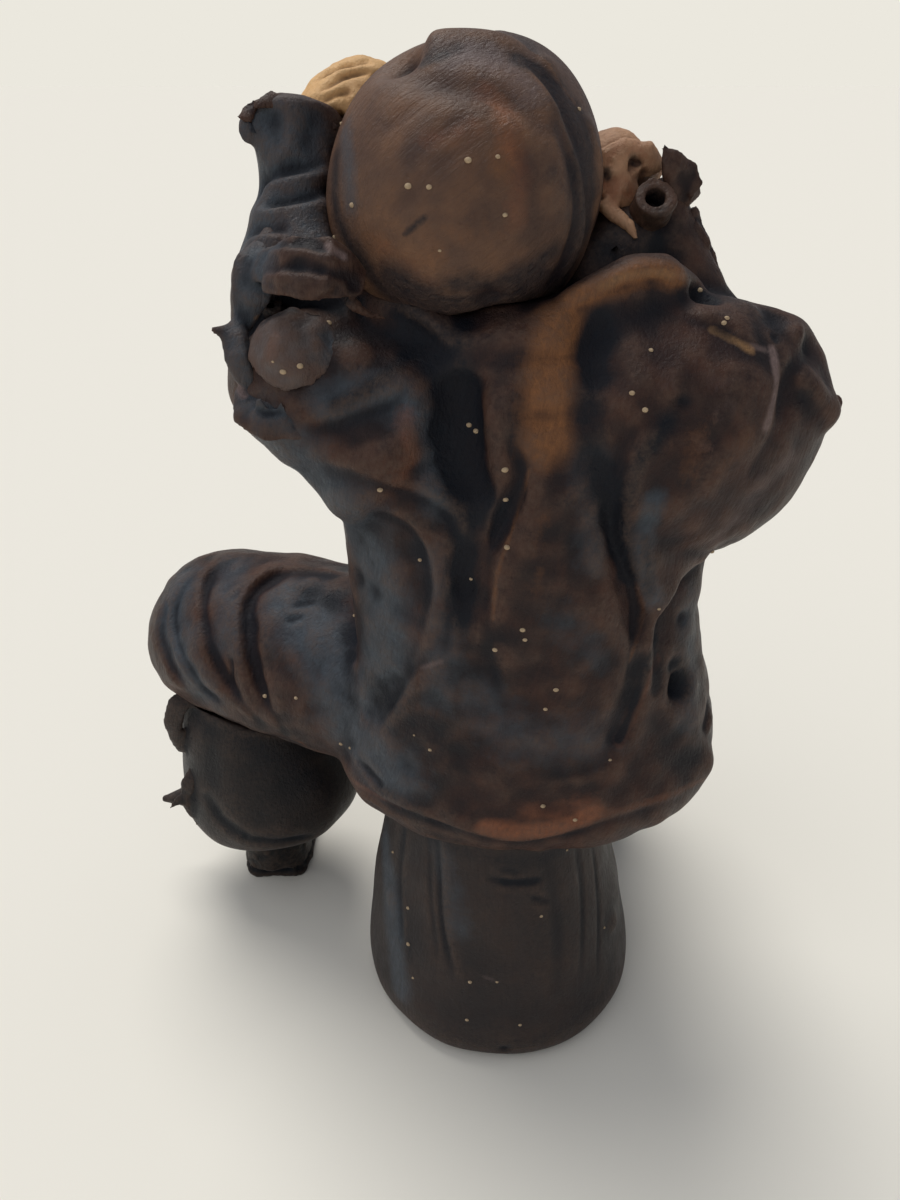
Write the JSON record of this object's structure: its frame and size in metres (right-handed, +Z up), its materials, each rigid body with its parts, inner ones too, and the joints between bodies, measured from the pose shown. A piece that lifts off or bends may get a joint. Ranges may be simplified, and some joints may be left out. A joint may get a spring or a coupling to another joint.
{
  "type": "seated figure ornament",
  "caption": "Hand-modelled clay figure of a seated man in ragged clothes, arms raised, on a round stump that stands flat on a surface.",
  "frame": {"origin": "centre of the stump's underside, where it meets the surface it stands on", "axes": "+Z up; the figure faces +Y, so its back is towards -Y; its left arm is at -X"},
  "size_m": [0.1113, 0.084, 0.1498],
  "materials": {
    "stump_clay": "fired clay with a dark brown wash rubbed back, satin to matt",
    "coat_clay": "fired clay with a dark brown wash rubbed back, satin to matt",
    "shirt_clay": "fired clay with a dark brown wash rubbed back, satin to matt",
    "skin_clay": "fired clay with a dark brown wash rubbed back, satin to matt",
    "head_clay": "fired clay with a dark brown wash rubbed back, satin to matt",
    "cap_clay": "fired clay with a dark brown wash rubbed back, satin to matt",
    "hand_clay": "fired clay with a dark brown wash rubbed back, satin to matt",
    "horn_clay": "fired clay with a dark brown wash rubbed back, satin to matt",
    "breeches_clay": "fired clay with a dark brown wash rubbed back, satin to matt",
    "shoe_clay": "fired clay with a dark brown wash rubbed back, satin to matt"
  },
  "bodies": {
    "root": {"stump": "stump_clay", "coat": "coat_clay", "shirt_front": "shirt_clay", "collar": "coat_clay", "neck": "skin_clay", "head": "head_clay", "face": "skin_clay", "nose": "skin_clay", "cap": "cap_clay", "left_upper_sleeve": "coat_clay", "left_elbow": "coat_clay", "left_elbow_rag": "coat_clay", "left_fore_sleeve": "coat_clay", "left_hand": "hand_clay", "right_upper_sleeve": "coat_clay", "right_elbow_point": "coat_clay", "right_fore_sleeve": "coat_clay", "right_cuff": "coat_clay", "right_hand": "hand_clay", "horn": "horn_clay", "left_thigh": "breeches_clay", "left_breeches_leg": "breeches_clay", "left_breeches_tatters": "breeches_clay", "left_shoe": "shoe_clay", "right_thigh": "breeches_clay", "right_breeches_leg": "breeches_clay", "right_shoe": "shoe_clay"}
  },
  "joints": []
}
